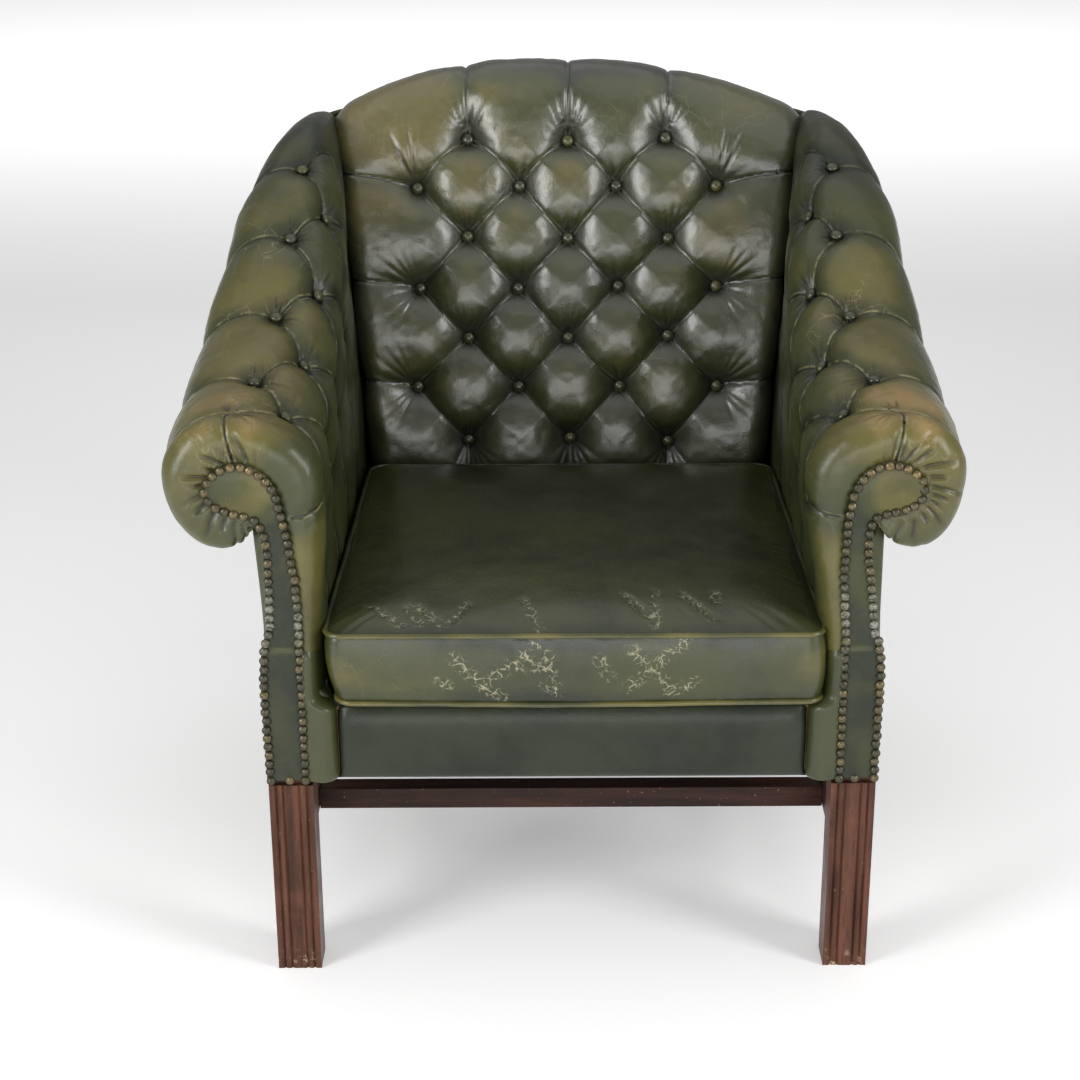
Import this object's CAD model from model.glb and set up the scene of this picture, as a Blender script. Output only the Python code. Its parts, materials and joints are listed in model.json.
import json
import math

import bmesh
import bpy
import numpy as np
from mathutils import Matrix, Vector


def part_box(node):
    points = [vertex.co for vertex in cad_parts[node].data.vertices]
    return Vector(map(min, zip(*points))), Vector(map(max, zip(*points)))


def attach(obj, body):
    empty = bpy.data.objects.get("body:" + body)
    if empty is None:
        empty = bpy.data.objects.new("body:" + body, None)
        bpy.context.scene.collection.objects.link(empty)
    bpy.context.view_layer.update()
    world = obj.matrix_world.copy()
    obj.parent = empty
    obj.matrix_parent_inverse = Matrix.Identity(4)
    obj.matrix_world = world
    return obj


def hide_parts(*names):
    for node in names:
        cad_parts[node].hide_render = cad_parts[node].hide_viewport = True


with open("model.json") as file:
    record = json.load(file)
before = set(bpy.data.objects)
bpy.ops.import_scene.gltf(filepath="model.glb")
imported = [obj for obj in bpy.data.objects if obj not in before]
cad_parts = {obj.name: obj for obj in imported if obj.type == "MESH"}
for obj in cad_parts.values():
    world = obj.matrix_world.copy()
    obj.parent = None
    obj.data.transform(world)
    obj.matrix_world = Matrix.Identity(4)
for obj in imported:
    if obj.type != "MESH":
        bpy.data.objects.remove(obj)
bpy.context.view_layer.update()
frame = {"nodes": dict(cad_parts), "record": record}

# ------------------------------------------------------------ room
# A plain pale floor with soft daylight from both sides and above, seen a little from above by
# someone who stands about two metres in front of the chair.

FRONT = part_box("arm_front_facing_right")[0].y      # plane of the arm fronts
EYE_HEIGHT = 1.423
EYE_DISTANCE = 2.193
LOOK_DOWN = math.radians(22)
LENS = 73.3
SIDE_SHIFT = -0.0301
STEP_ASIDE = math.radians(0.55)          # the camera stands a little to the left
SKY_STRENGTH = 0.30
FLOOR_PAINT = 0.86
FLOOR_GLOW = 0.27
FLOOR_HALF = 14

# name, place, what it is aimed at, width and height, power
LAMPS = (
    ("window_left", (-2.1, -1.9, 1.35), (0, 0, 0.6), (0.95, 1.6), 46),
    ("window_right", (2.3, -1.7, 1.45), (0, 0, 0.6), (0.80, 1.6), 40),
    ("skylight", (0.1, 0.1, 3.4), (0, 0, 0.4), (5.0, 4.0), 37),
    ("room_behind", (0, -3.4, 0.58), (0, 0, 0.75), (2.8, 0.95), 31),
    ("far_floor", (0, 4.5, 3.2), (0, 9.5, 0), (9.0, 2.5), 190),
)


def set_up_room():
    """Even light from all round, and the place from which the chair is seen."""
    scene = bpy.context.scene
    scene.view_settings.view_transform = "Standard"
    world = bpy.data.worlds.new("room_light")
    scene.world = world
    world.use_nodes = True
    sky = world.node_tree.nodes["Background"]
    sky.inputs["Color"].default_value = (1, 1, 1, 1)
    sky.inputs["Strength"].default_value = SKY_STRENGTH

    camera = bpy.data.objects.new("camera", bpy.data.cameras.new("camera"))
    camera.data.lens = LENS
    camera.data.shift_x = SIDE_SHIFT
    camera.location = (
        -EYE_DISTANCE * math.sin(STEP_ASIDE), FRONT - EYE_DISTANCE * math.cos(STEP_ASIDE), EYE_HEIGHT)
    camera.rotation_euler = (math.pi / 2 - LOOK_DOWN, 0, -STEP_ASIDE)
    scene.collection.objects.link(camera)
    scene.camera = camera


def soft_window(name, place, aim, size, power):
    lamp = bpy.data.lights.new(name, "AREA")
    lamp.shape = "RECTANGLE"
    lamp.size, lamp.size_y = size
    lamp.energy = power
    holder = bpy.data.objects.new(name, lamp)
    holder.location = place
    holder.rotation_euler = (Vector(aim) - Vector(place)).to_track_quat("-Z", "Y").to_euler()
    bpy.context.scene.collection.objects.link(holder)


def lay_floor():
    sheet = bmesh.new()
    bmesh.ops.create_grid(sheet, x_segments=2, y_segments=2, size=FLOOR_HALF)
    mesh = bpy.data.meshes.new("floor")
    sheet.to_mesh(mesh)
    sheet.free()
    floor = bpy.data.objects.new("floor", mesh)
    bpy.context.scene.collection.objects.link(floor)
    paint = bpy.data.materials.new("pale_floor")
    paint.use_nodes = True
    surface = paint.node_tree.nodes["Principled BSDF"]
    surface.inputs["Base Color"].default_value = (FLOOR_PAINT, FLOOR_PAINT, FLOOR_PAINT, 1)
    surface.inputs["Roughness"].default_value = 0.9
    surface.inputs["Emission Color"].default_value = (1, 1, 1, 1)
    surface.inputs["Emission Strength"].default_value = FLOOR_GLOW
    mesh.materials.append(paint)


set_up_room()
for lamp in LAMPS:
    soft_window(*lamp)
lay_floor()

# ------------------------------------------------------------ tufted back
# Aged green hide over deep stuffing, pulled in by 24 covered buttons. The fullness between the
# buttons is folded into pleats that run from button to button, over the crest and out to the sides.

BACK_CELL = 0.0026                       # fineness of the hide's mesh
SEAT_Y = FRONT + 0.545                   # front of the back at the seat
BACK_TOP_Z = 0.941
BACK_START_Z = 0.395                     # the hide runs on behind the cushion to here
HALF_AT_SEAT = 0.263
SEAT_LINE_Z = 0.43                       # where that half width is taken
HALF_SPREAD = 0.100                      # widening for each metre of height
EDGE_ROUND = 0.030
SIDE_DEPTH = 0.070
CREST_DROP = 0.058                       # how far the crest has fallen near its corners
CREST_SETTLED = 0.010                    # and in its middle
DROP_AT = 0.287
LEFT_BEND, RIGHT_BEND = 2.8, 2.0         # the left shoulder is squarer
BUTTON_ACROSS = 0.0665                   # half the spacing in a row
BUTTON_ROWS = (0.845, 0.785, 0.719, 0.656, 0.591, 0.528, 0.453)
ROW_NARROWING = 0.035                    # buttons stand closer towards the top
BUTTON_STRAY = 0.0025                    # each is sewn a little out of line
LONGEST_PLEAT = 0.09                     # between neighbours across
PUFF = 0.0175                            # height of the hide between pleats
PUFF_REACH = 0.047                       # pleat to the middle of a diamond
SEAM_DEPTH = 0.0022                      # the narrow valley along a pleat
PIT_DEPTH = 0.005                        # right at a button
PIT_SLOPE = 0.011                        # and wide round it
rng = np.random.default_rng(11)


def smooth(value, low, high):
    """0 below low, 1 above high, and an easy curve between."""
    share = np.clip((value - low) / (high - low), 0, 1)
    return share * share * (3 - 2 * share)


def bezier(a, b, c, d, count):
    """Points along a curve from a to d, drawn towards b and c."""
    t = np.linspace(0, 1, count)[:, None]
    a, b, c, d = (np.array(point, float) for point in (a, b, c, d))
    return a * (1 - t) ** 3 + 3 * b * t * (1 - t) ** 2 + 3 * c * t * t * (1 - t) + d * t ** 3


def travelled(line):
    """Distance along a line up to each of its points."""
    return np.concatenate([[0], np.cumsum(np.linalg.norm(np.diff(line, axis=0), axis=1))])


def evenly(line, count):
    """The same line with its points an equal way apart."""
    gone = travelled(line)
    want = np.linspace(0, gone[-1], count)
    return np.stack([np.interp(want, gone, line[:, k]) for k in range(line.shape[1])], 1)


def soft_noise(points, size, seed):
    """Smooth random values between -1 and 1, with patches of about the given size."""
    table = np.random.default_rng(seed).uniform(-1, 1, 4096)
    cell = np.floor(points / size).astype(np.int64)
    part = points / size - cell
    part = part * part * (3 - 2 * part)
    total = np.zeros(len(points))
    for corner in np.ndindex(2, 2, 2):
        at = cell + np.array(corner)
        key = (at[:, 0] * 73856093 ^ at[:, 1] * 19349663 ^ at[:, 2] * 83492791) % 4096
        share = np.prod(np.where(corner, part, 1 - part), axis=1)
        total += share * table[key]
    return total


def facing_out(base, flip=False):
    """Unit normals of a sheet given as rows of points."""
    across, up = np.gradient(base, axis=1), np.gradient(base, axis=0)
    normal = np.cross(across, up)
    normal /= np.maximum(np.linalg.norm(normal, axis=2, keepdims=True), 1e-12)
    return -normal if flip else normal


def at_index(base, where):
    """Points of a sheet at fractional row and column numbers."""
    where = np.asarray(where, float)
    row = np.clip(where[:, 0], 0, base.shape[0] - 1.001)
    column = np.clip(where[:, 1], 0, base.shape[1] - 1.001)
    r, c = row.astype(int), column.astype(int)
    fr, fc = (row - r)[:, None], (column - c)[:, None]
    low = base[r, c] * (1 - fc) + base[r, c + 1] * fc
    high = base[r + 1, c] * (1 - fc) + base[r + 1, c + 1] * fc
    return low * (1 - fr) + high * fr


def pleat_line(base, start, end, bow=0.0, points=9):
    """A pleat from one place on the sheet to another, bowed sideways by a share of its length."""
    start, end = np.array(start, float), np.array(end, float)
    t = np.linspace(0, 1, points)[:, None]
    side = np.array([-(end - start)[1], (end - start)[0]])
    return at_index(base, start + (end - start) * t + side * bow * 4 * t * (1 - t))


def nearest_on_line(points, line):
    """Distance to a bent line, and the nearest point on it."""
    best = np.full(len(points), 9.0)
    spot = np.zeros_like(points)
    for a, b in zip(line[:-1], line[1:]):
        run = b - a
        share = np.clip((points - a) @ run / max(run @ run, 1e-12), 0, 1)
        near = a + share[:, None] * run
        gap = np.linalg.norm(points - near, axis=1)
        closer = gap < best
        best[closer] = gap[closer]
        spot[closer] = near[closer]
    return best, spot


def tufted(base, normal, buttons, pleats, cell, puff, reach, fans, ease):
    """Sinks a sheet along its pleats and into its buttons.

    Gives the points, their distances from pleat and button, and how deep in a crease each lies.
    """
    points = base.reshape(-1, 3).copy()
    out = normal.reshape(-1, 3)
    nearest = np.full(len(points), 9.0)
    spot = points.copy()
    pull = np.zeros(len(points))
    for line in pleats:
        gap = np.full(len(points), 9.0)
        near = points.copy()
        low, high = line.min(0) - 0.16, line.max(0) + 0.16
        close = np.all((points > low) & (points < high), axis=1)
        gap[close], near[close] = nearest_on_line(points[close], line)
        closer = gap < nearest
        nearest[closer] = gap[closer]
        spot[closer] = near[closer]
        pull += np.maximum(gap, 2e-4) ** -3.2
    on_pleat = nearest < cell * 0.48
    points[on_pleat] = spot[on_pleat]
    nearest[on_pleat] = 0
    share = np.clip(np.where(on_pleat, 0, pull ** (-1 / 3.2)) / reach, 0, 1)
    button_gap = np.full(len(points), 9.0)
    for button in buttons:
        button_gap = np.minimum(button_gap, np.linalg.norm(points - button, axis=1))
    held = 0.58 + 0.42 * np.exp(-(button_gap / 0.030) ** 2)
    sink = puff * ease * held * (1 - share) ** 1.8
    sink += SEAM_DEPTH * np.exp(-(nearest / 0.002) ** 2)
    sink += PIT_DEPTH * np.exp(-(button_gap / 0.011) ** 2)
    sink += PIT_SLOPE * np.exp(-(button_gap / 0.030) ** 1.3)
    fold = np.zeros(len(points))
    for centre, toward, out_here, spread, count, length, strength in fans:
        creases = fan_of_creases(points, centre, toward, out_here, spread, count, length)
        sink += strength * creases
        fold = np.maximum(fold, creases)
    sink += 0.0011 * soft_noise(points, 0.035, 3) * smooth(nearest, 0.004, 0.02)
    sink += 0.0004 * soft_noise(points, 0.009, 4) * smooth(nearest, 0.002, 0.01)
    return points - out * sink[:, None], nearest, button_gap, fold


def fan_of_creases(points, centre, toward, out, spread, count, length):
    """Fine creases that spread from a button the way the hide is gathered into it."""
    offset = points - centre
    reach = np.linalg.norm(offset, axis=1)
    sink = np.zeros(len(points))
    close = (reach < length * 1.9) & (reach > 1e-4)
    toward = toward - out * (toward @ out)
    toward /= np.linalg.norm(toward)
    aside = np.cross(toward, out)
    angle = np.arctan2(offset[close] @ aside, offset[close] @ toward)
    wave = 0.5 + 0.5 * np.cos(angle * count + 5 * np.sin(angle * 2.3 + centre[0] * 40))
    inside = np.exp(-(angle / spread) ** 4)
    ring = smooth(reach[close], 0.005, 0.013) * np.exp(-(reach[close] / length) ** 2.4)
    sink[close] = wave ** 3 * inside * ring
    return sink


def made_piece(name, form):
    """The finished form as an object in the scene."""
    for face in form.faces:
        face.smooth = True
    mesh = bpy.data.meshes.new(name)
    form.to_mesh(mesh)
    form.free()
    piece = bpy.data.objects.new(name, mesh)
    bpy.context.scene.collection.objects.link(piece)
    return piece


def open_edges(form):
    return [edge for edge in form.edges if edge.is_boundary]


def turned_in(form):
    """New points along the open edge, drawn out of it, ready to be moved inwards."""
    turned = bmesh.ops.extrude_edge_only(form, edges=open_edges(form))["geom"]
    return [item for item in turned if isinstance(item, bmesh.types.BMVert)]


def shut(form):
    bmesh.ops.holes_fill(form, edges=open_edges(form), sides=0)


def face_out(form):
    bmesh.ops.recalc_face_normals(form, faces=form.faces[:])


def sheet_mesh(name, points, rows, columns, values, flip=False, cover=None):
    """A mesh sheet of rows and columns of points, with one named value a point."""
    form = bmesh.new()
    bmesh.ops.create_grid(form, x_segments=columns - 1, y_segments=rows - 1, size=1)
    form.verts.ensure_lookup_table()
    start = np.array([vert.co[:2] for vert in form.verts])
    column = np.rint((start[:, 0] + 1) / 2 * (columns - 1)).astype(int)
    row = np.rint((start[:, 1] + 1) / 2 * (rows - 1)).astype(int)
    order = row * columns + column
    for vert, point in zip(form.verts, points[order].tolist()):
        vert.co = point
    if flip:
        bmesh.ops.reverse_faces(form, faces=form.faces[:])
    for key, value in values.items():
        layer = form.verts.layers.float.new(key)
        for vert, number in zip(form.verts, np.asarray(value, float)[order].tolist()):
            vert[layer] = number
    if cover:
        cover(form)
    return made_piece(name, form)


def back_profile():
    """Side line of the back, from behind the cushion up its face and over the crest."""
    lower = bezier((SEAT_Y, BACK_START_Z), (SEAT_Y + 0.004, 0.50),
                   (SEAT_Y + 0.028, 0.68), (SEAT_Y + 0.082, 0.86), 60)
    crest = bezier((SEAT_Y + 0.082, 0.86), (SEAT_Y + 0.097, 0.912),
                   (SEAT_Y + 0.116, 0.941), (SEAT_Y + 0.152, 0.941), 30)
    behind = bezier((SEAT_Y + 0.152, 0.941), (SEAT_Y + 0.186, 0.941),
                    (SEAT_Y + 0.206, 0.930), (SEAT_Y + 0.207, 0.884), 30)
    return np.concatenate([lower, crest[1:], behind[1:]])


def back_half(z):
    """Half the width of the back at a height."""
    return HALF_AT_SEAT + HALF_SPREAD * (z - SEAT_LINE_Z)


def back_base():
    """The back's hide before it is buttoned: rows up its profile, wrapped round both sides."""
    profile = back_profile()
    rows = int(travelled(profile)[-1] / BACK_CELL)
    profile = evenly(profile, rows)
    run = np.gradient(profile, axis=0)
    run /= np.linalg.norm(run, axis=1, keepdims=True)
    inward = np.stack([run[:, 1], -run[:, 0]], 1)       # into the stuffing
    widest = back_half(BACK_TOP_Z)
    quarter = EDGE_ROUND * math.pi / 2
    reach = widest - EDGE_ROUND + quarter + SIDE_DEPTH
    columns = int(2 * reach / BACK_CELL) // 2 * 2 + 1
    base = np.zeros((rows, columns, 3))
    for i, (y, z) in enumerate(profile):
        half = back_half(z)
        length = half - EDGE_ROUND + quarter + SIDE_DEPTH
        along = np.linspace(-length, length, columns)
        past = np.abs(along) - (half - EDGE_ROUND)
        turn = np.clip(past / EDGE_ROUND, 0, math.pi / 2)
        flat = np.minimum(np.abs(along), half - EDGE_ROUND)
        x = np.sign(along) * (flat + EDGE_ROUND * np.sin(turn))
        recess = EDGE_ROUND * (1 - np.cos(turn)) + np.clip(past - quarter, 0, None)
        bend = np.where(x < 0, LEFT_BEND, RIGHT_BEND)
        drop = (CREST_DROP * (np.abs(x) / DROP_AT) ** bend + CREST_SETTLED) * smooth(z, 0.79, 0.935)
        base[i, :, 0] = x
        base[i, :, 1] = y + inward[i, 0] * recess * smooth(z, 0, 0.1)
        base[i, :, 2] = z + inward[i, 1] * recess - drop
    return base


def back_buttons_and_pleats(base):
    """Where each button is sewn and how the pleats run, as row and column numbers and lines."""
    front_only = base.copy()
    front_only[int(base.shape[0] * 0.8) + 1:] = 9
    found = []
    for i, z in enumerate(BUTTON_ROWS):
        places = (-2, 0, 2) if i % 2 == 0 else (-3, -1, 1, 3)
        line = []
        for place in places:
            across = BUTTON_ACROSS * (1 - ROW_NARROWING * float(smooth(z, 0.5, 0.8)))
            x = place * across + rng.uniform(-BUTTON_STRAY, BUTTON_STRAY)
            height = z + rng.uniform(-BUTTON_STRAY, BUTTON_STRAY)
            gap = np.abs(front_only[:, :, 0] - x) + np.abs(front_only[:, :, 2] - height)
            line.append(np.array(np.unravel_index(np.argmin(gap), gap.shape), float))
        found.append(line)
    lines = []
    last_row, last_column = base.shape[0] - 1, base.shape[1] - 1
    for upper, lower in zip(found[:-1], found[1:]):
        for a in upper:
            for b in lower:
                if abs(a[1] - b[1]) * BACK_CELL < LONGEST_PLEAT:
                    bow = 0.055 * np.sign(a[1] - b[1]) if upper is found[0] else 0.012
                    lines.append(pleat_line(base, a, b, bow))
    for a in found[0]:
        lean = (a[1] - last_column / 2) * 0.02
        lines.append(pleat_line(base, a, (last_row, a[1] + lean), 0.004, 24))
    for a in found[-1]:
        lines.append(pleat_line(base, a, (0, a[1]), 0.0))
    for row in (found[1], found[3], found[5]):
        for a, end in ((row[0], 0), (row[-1], last_column)):
            lift = 7 if row is found[1] else 1
            bow = 0.05 if end == 0 else -0.05
            lines.append(pleat_line(base, a, (a[0] + lift, end), bow, 16))
    return [at_index(base, [b])[0] for line in found for b in line], lines, found


def back_fans(base, normal, found):
    """The creases gathered above the buttons, longest at the outside and along the top."""
    fans = []
    for i, line in enumerate(found):
        for j, place in enumerate(line):
            centre, out = at_index(base, [place])[0], at_index(normal, [place])[0]
            outer = len(line) == 4 and j in (0, 3)
            side = -1 if j == 0 else 1
            if outer and i == 1:
                fans.append((centre, np.array([0.42 * side, 0.05, 1.0]), out, 0.55, 17, 0.064, 0.0040))
            elif outer:
                fans.append((centre, np.array([side, 0.05, 0.45]), out, 0.80, 17, 0.042, 0.0042))
                fans.append((centre, np.array([0.7 * side, 0.0, -1.0]), out, 0.55, 17, 0.036, 0.0032))
            elif i == 0:
                fans.append((centre, np.array([0.0, 0.08, 1.0]), out, 0.75, 17, 0.044, 0.0030))
            else:
                fans.append((centre, np.array([0.0, 0.08, 1.0]), out, 0.65, 17, 0.030, 0.0032))
            if i == 6:
                fans.append((centre, np.array([0.1, 0.0, -1.0]), out, 1.0, 15, 0.036, 0.0036))
    return fans


def close_behind(form):
    """Turns the hide's edge in to the frame and closes it there."""
    middle = Vector((0, SEAT_Y + 0.140, 0.66))
    for vert in turned_in(form):
        vert.co = vert.co.lerp(middle, 0.05)
        vert.co.y = max(vert.co.y, SEAT_Y + 0.06 + 0.1 * (vert.co.z - 0.4))
    shut(form)


def hide_values(points, nearest, button_gap, rub, fold=None, scuff=None):
    """The values that the hide's finish reads at each point."""
    return {
        "pleat": np.clip(nearest, 0, 0.03),
        "button": np.clip(button_gap, 0, 0.08),
        "rub": np.clip(rub, 0, 1.2),
        "fold": np.clip(fold if fold is not None else np.zeros(len(points)), 0, 1),
        "scuff": np.clip(scuff if scuff is not None else np.full(len(points), 0.03), 0, 0.03),
    }


def plain_values(points, rub):
    """The same for hide with no pleats, buttons or scuffs."""
    return hide_values(points, np.full(len(points), 0.03), np.full(len(points), 0.08), rub)


def make_back():
    """The whole buttoned back, and where its buttons go."""
    base = back_base()
    normal = facing_out(base)
    buttons, pleats, found = back_buttons_and_pleats(base)
    flat = base.reshape(-1, 3)
    half = back_half(flat[:, 2])
    ease = 1 - 0.62 * smooth(flat[:, 2], 0.865, 0.915)
    ease *= 1 - 0.5 * smooth(np.abs(flat[:, 0]), half - 0.06, half - 0.01)
    points, nearest, gap, fold = tufted(
        base, normal, buttons, pleats, BACK_CELL, PUFF, PUFF_REACH, back_fans(base, normal, found), ease)
    left = smooth(-points[:, 0], -0.05, 0.26)
    high = smooth(points[:, 2], 0.62, 0.86)
    crest = smooth(points[:, 2], 0.90, 0.945)
    rub = 0.34 + 0.30 * left * high + 0.04 * high - 0.75 * crest + 0.10 * soft_noise(points, 0.09, 8)
    rub -= 0.14 * smooth(0.55 - points[:, 2], 0, 0.1)
    side_gap = np.clip(half + 0.004 - np.abs(flat[:, 0]), 0, 1) * 1.1
    gap = np.minimum(gap, side_gap + 0.030 * smooth(points[:, 2], 0.80, 0.92))
    values = hide_values(points, nearest, gap, rub, fold)
    piece = sheet_mesh("back_hide", points, base.shape[0], base.shape[1], values, cover=close_behind)
    places = [(at_index(base, [b])[0], at_index(normal, [b])[0]) for line in found for b in line]
    return piece, places


BUTTON_RADIUS = 0.0074


def covered_buttons(name, places, sunk):
    """Small domed buttons, each covered in hide and pulled down into its pit."""
    form = bmesh.new()
    tone = form.verts.layers.float.new("rub")
    clear = [form.verts.layers.float.new(word) for word in ("pleat", "button", "scuff")]
    for place, out in places:
        made = bmesh.ops.create_uvsphere(
            form, u_segments=16, v_segments=9, radius=BUTTON_RADIUS)["verts"]
        worn = rng.uniform(0.10, 0.45)
        for vert in made:
            vert.co.z *= 0.62 if vert.co.z > 0 else 0.35
            vert[tone] = worn
            for layer in clear:
                vert[layer] = 0.03
        turn = Vector(out).to_track_quat("Z", "Y").to_matrix().to_4x4()
        spot = Vector(place) - Vector(out) * sunk
        bmesh.ops.transform(form, matrix=Matrix.Translation(spot) @ turn, verts=made)
    return made_piece(name, form)


class Finish:
    """A surface finish, put together from texture nodes in the object's own coordinates."""

    def __init__(self, name):
        self.material = bpy.data.materials.new(name)
        self.material.use_nodes = True
        self.nodes = self.material.node_tree.nodes
        self.links = self.material.node_tree.links
        self.surface = self.nodes["Principled BSDF"]
        self.place = self.nodes.new("ShaderNodeTexCoord").outputs["Object"]

    def put(self, socket, value):
        """Links a node's output to a socket, or sets the socket to a number or colour."""
        if isinstance(value, bpy.types.NodeSocket):
            self.links.new(value, socket)
        elif value is not None:
            if hasattr(socket.default_value, "__len__") and not hasattr(value, "__len__"):
                value = (value, value, value)
            if hasattr(value, "__len__") and len(socket.default_value) == 4 and len(value) == 3:
                value = (*value, 1)
            socket.default_value = value

    def paint(self, name, value):
        """Sets one of the surface's own inputs."""
        self.put(self.surface.inputs[name], value)

    def maths(self, operation, a, b=None, limit=False):
        node = self.nodes.new("ShaderNodeMath")
        node.operation = operation
        node.use_clamp = limit
        self.put(node.inputs[0], a)
        self.put(node.inputs[1], b)
        return node.outputs[0]

    def times(self, a, b):
        return self.maths("MULTIPLY", a, b)

    def plus(self, a, b):
        return self.maths("ADD", a, b)

    def swing(self, value, amount):
        """A value between 0 and 1, turned into one that swings by an amount about nought."""
        return self.times(self.maths("SUBTRACT", value, 0.5), amount)

    def between(self, value, low, high, start=0.0, end=1.0):
        """Start below low, end above high, and an easy curve between."""
        node = self.nodes.new("ShaderNodeMapRange")
        node.interpolation_type = "SMOOTHSTEP"
        for socket, number in zip(node.inputs[:5], (value, low, high, start, end)):
            self.put(socket, number)
        return node.outputs[0]

    def blend(self, share, a, b, way="MIX"):
        node = self.nodes.new("ShaderNodeMix")
        node.data_type = "RGBA"
        node.blend_type = way
        self.put(node.inputs[0], share)
        self.put(node.inputs[6], a)
        self.put(node.inputs[7], b)
        return node.outputs[2]

    def noise(self, scale, detail=3.0, roughness=0.55, place=None, twist=0.0):
        node = self.nodes.new("ShaderNodeTexNoise")
        self.put(node.inputs["Vector"], place or self.place)
        self.put(node.inputs["Scale"], scale)
        self.put(node.inputs["Detail"], detail)
        self.put(node.inputs["Roughness"], roughness)
        self.put(node.inputs["Distortion"], twist)
        return node.outputs["Fac"]

    def cells(self, scale, place=None, feature="F1", spread=1.0):
        node = self.nodes.new("ShaderNodeTexVoronoi")
        node.feature = feature
        self.put(node.inputs["Vector"], place or self.place)
        self.put(node.inputs["Scale"], scale)
        self.put(node.inputs["Randomness"], spread)
        return node.outputs["Distance"]

    def jostled(self, amount, scale):
        """The object's own coordinates, pushed about by noise."""
        node = self.nodes.new("ShaderNodeTexNoise")
        self.put(node.inputs["Vector"], self.place)
        self.put(node.inputs["Scale"], scale)
        self.put(node.inputs["Detail"], 3.0)
        shift = self.nodes.new("ShaderNodeVectorMath")
        shift.operation = "MULTIPLY_ADD"
        self.put(shift.inputs[0], node.outputs["Color"])
        self.put(shift.inputs[1], amount)
        self.links.new(self.place, shift.inputs[2])
        return shift.outputs[0]

    def stretched(self, scale, turn=(0, 0, 0)):
        node = self.nodes.new("ShaderNodeMapping")
        self.put(node.inputs["Vector"], self.place)
        self.put(node.inputs["Scale"], scale)
        self.put(node.inputs["Rotation"], turn)
        return node.outputs[0]

    def value(self, name):
        node = self.nodes.new("ShaderNodeAttribute")
        node.attribute_name = name
        return node.outputs["Fac"]

    def bump(self, height, distance, strength=1.0, under=None):
        node = self.nodes.new("ShaderNodeBump")
        self.put(node.inputs["Height"], height)
        self.put(node.inputs["Distance"], distance)
        self.put(node.inputs["Strength"], strength)
        if under is not None:
            self.links.new(under, node.inputs["Normal"])
        return node.outputs["Normal"]


DEEP_GREEN = (0.013, 0.017, 0.008)
GREEN = (0.039, 0.044, 0.013)
OLIVE = (0.106, 0.092, 0.022)
TAN = (0.290, 0.190, 0.070)
PALE_CRACK = (0.36, 0.34, 0.22)
WORN_LIP = (0.25, 0.225, 0.115)
NEARLY_BLACK = (0.006, 0.008, 0.005)


def cracks_in(hide, rub, amount):
    """Forked cracks, fine crazing and scratches, where the hide is rubbed most."""
    fork = hide.cells(26.0, hide.jostled(0.045, 14.0), "DISTANCE_TO_EDGE")
    where = hide.between(hide.noise(11.0, 2.0, 0.5), 0.50, 0.66)
    crack = hide.times(hide.between(fork, 0.002, 0.014, 0.6, 0.0), where)
    crack = hide.times(crack, hide.between(hide.noise(95.0, 4.0, 0.7), 0.36, 0.52))
    crack = hide.times(crack, hide.between(rub, 0.15, 0.55))

    fine_edge = hide.cells(150.0, hide.jostled(0.01, 60.0), "DISTANCE_TO_EDGE")
    craze = hide.times(hide.between(fine_edge, 0.02, 0.09, 1.0, 0.0),
                       hide.between(hide.noise(24.0, 4.0, 0.6), 0.50, 0.72))
    craze = hide.times(craze, hide.between(rub, 0.45, 0.95))
    crack = hide.maths("MAXIMUM", crack, hide.times(craze, 0.75))

    along = hide.stretched((150.0, 260.0, 42.0), (0.5, 0.7, 0.2))
    strokes = hide.cells(1.0, along, "DISTANCE_TO_EDGE")
    scratch = hide.times(hide.between(strokes, 0.01, 0.045, 1.0, 0.0),
                         hide.between(hide.noise(30.0, 4.0, 0.65), 0.56, 0.68))
    scratch = hide.times(scratch, hide.between(rub, 0.3, 0.75, 0.0, 0.7))
    return hide.times(hide.maths("MAXIMUM", crack, scratch), amount)


def scuffs_in(hide, amount):
    """Marks worn through along the cushion's scuff lines, with a web of fine cracks beside them."""
    stroke = hide.value("scuff")
    drift = hide.swing(hide.noise(90.0, 4.0, 0.7), 0.0060)
    mark = hide.between(hide.plus(stroke, drift), -0.0004, 0.0014, 1.0, 0.0)
    web = hide.cells(120.0, hide.jostled(0.014, 45.0), "DISTANCE_TO_EDGE")
    web = hide.times(hide.between(web, 0.03, 0.12, 1.0, 0.0),
                     hide.between(stroke, 0.002, 0.011, 1.0, 0.0))
    web = hide.times(web, hide.between(hide.noise(150.0, 4.0, 0.7), 0.46, 0.58))
    return hide.times(hide.maths("MAXIMUM", mark, web), amount)


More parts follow.
